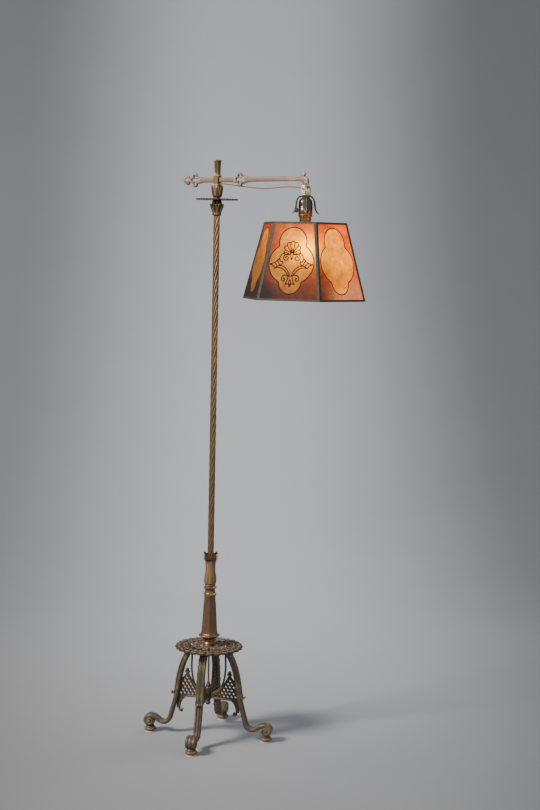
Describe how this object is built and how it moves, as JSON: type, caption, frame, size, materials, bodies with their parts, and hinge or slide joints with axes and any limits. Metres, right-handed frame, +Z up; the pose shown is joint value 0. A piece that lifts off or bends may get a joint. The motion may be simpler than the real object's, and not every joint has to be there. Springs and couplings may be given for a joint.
{
  "type": "bridge-arm floor lamp",
  "caption": "Floor lamp with a scroll-footed cast base, rope-twist pole, level bridge arm and a hexagonal mica shade hung from its end.",
  "frame": {"origin": "on the floor, on the axis of the pole", "axes": "+Z up along the pole; -Y is the front; +X to the right seen from the front; the arm points 42 degrees to the front of +X at rest"},
  "size_m": [0.544, 0.528, 1.524],
  "materials": {
    "leg_iron": "gilt bronze paint worn to yellow-green verdigris",
    "plate_iron": "dark bronzed openwork casting, highlights rubbed",
    "foot_bronze": "dull reddish bronze",
    "felt": "pale felt",
    "column_bronze": "antique bronze, satin, brown in the hollows",
    "pole_bronze": "antique gold rope twist, dark in the grooves",
    "ring_brass": "pale aged brass",
    "dark_disc": "near-black bronze",
    "arm_gilt": "old gilt over cast iron, rose tint toward the end",
    "bright_brass": "polished brass, slightly tarnished",
    "pale_brass": "unlacquered pale brass",
    "husk_bronze": "dark bronze leaf husk",
    "steel": "plain steel",
    "rod_bronze": "bronzed steel rod",
    "lead_cloth": "reddish-brown cloth-covered lead",
    "black_fibre": "black moulded insulation",
    "liner_card": "pressed insulating card",
    "porcelain": "glazed insulating core",
    "bulb": "frosted glass, lit warm",
    "shade_metal": "dark olive-bronze strip",
    "mica": "amber mica, mottled, lit from inside"
  },
  "bodies": {
    "base": {"leg_right": "leg_iron", "leg_back": "leg_iron", "leg_left": "leg_iron", "leg_front": "leg_iron", "bun_foot_right": "foot_bronze", "bun_foot_back": "foot_bronze", "bun_foot_left": "foot_bronze", "bun_foot_front": "foot_bronze", "felt_pad_right": "felt", "felt_pad_back": "felt", "felt_pad_left": "felt", "felt_pad_front": "felt", "foot_screws": "steel", "base_plate": "plate_iron", "leg_screws": "steel", "tie_rod": "rod_bronze", "bracket_hub": "plate_iron", "hub_drop": "plate_iron", "column_collar": "column_bronze", "cord_bushing": "black_fibre", "octagonal_column": "column_bronze", "brass_ring": "ring_brass", "knife_ring": "column_bronze", "leaf_vase": "column_bronze", "rope_casing": "pole_bronze", "steel_pipe": "steel", "pole_wire": "lead_cloth", "pipe_locknut": "steel", "lower_leaf_cup": "pole_bronze", "gallery_disc": "dark_disc", "upper_leaf_cup": "pole_bronze", "swivel_nipple": "steel"},
    "arm": {"arm": "arm_gilt", "finial": "dark_disc", "lead_bushing": "black_fibre", "arm_lead": "lead_cloth", "hickey_screw": "steel"},
    "socket": {"hickey": "pale_brass", "socket_nipple": "steel", "husk": "husk_bronze", "socket_cap": "bright_brass", "socket_shell": "bright_brass", "shell_liner": "liner_card", "socket_core": "porcelain", "screw_shell": "bright_brass", "bulb_base": "steel", "bulb_glass": "bulb", "shade_ring_nut": "bright_brass"},
    "key": {"switch_key": "black_fibre"},
    "shade": {"shade_spider": "bright_brass", "shade_top_rim": "shade_metal", "shade_bottom_rim": "shade_metal", "seam_strips": "shade_metal", "mica_panel_1": "mica", "mica_panel_2": "mica", "mica_panel_3": "mica", "mica_panel_4": "mica", "mica_panel_5": "mica", "mica_panel_6": "mica"}
  },
  "joints": [
    {"name": "arm_swivel", "type": "hinge", "parent": "base", "child": "arm", "pos_m": [0, 0, 1.463], "axis": [0, 0, 1], "range_deg": [-165, 165]},
    {"name": "socket_swivel", "type": "hinge", "parent": "arm", "child": "socket", "pos_m": [0.21774, -0.19606, 1.4556], "axis": [0, 0, 1], "range_deg": [-40, 40]},
    {"name": "shade_turn", "type": "hinge", "parent": "socket", "child": "shade", "pos_m": [0.21774, -0.19606, 1.3634], "axis": [0, 0, 1], "continuous": true},
    {"name": "switch_turn", "type": "hinge", "parent": "socket", "child": "key", "pos_m": [0.20288, -0.18267, 1.3956], "axis": [-0.7431, 0.6691, 0], "continuous": true}
  ]
}
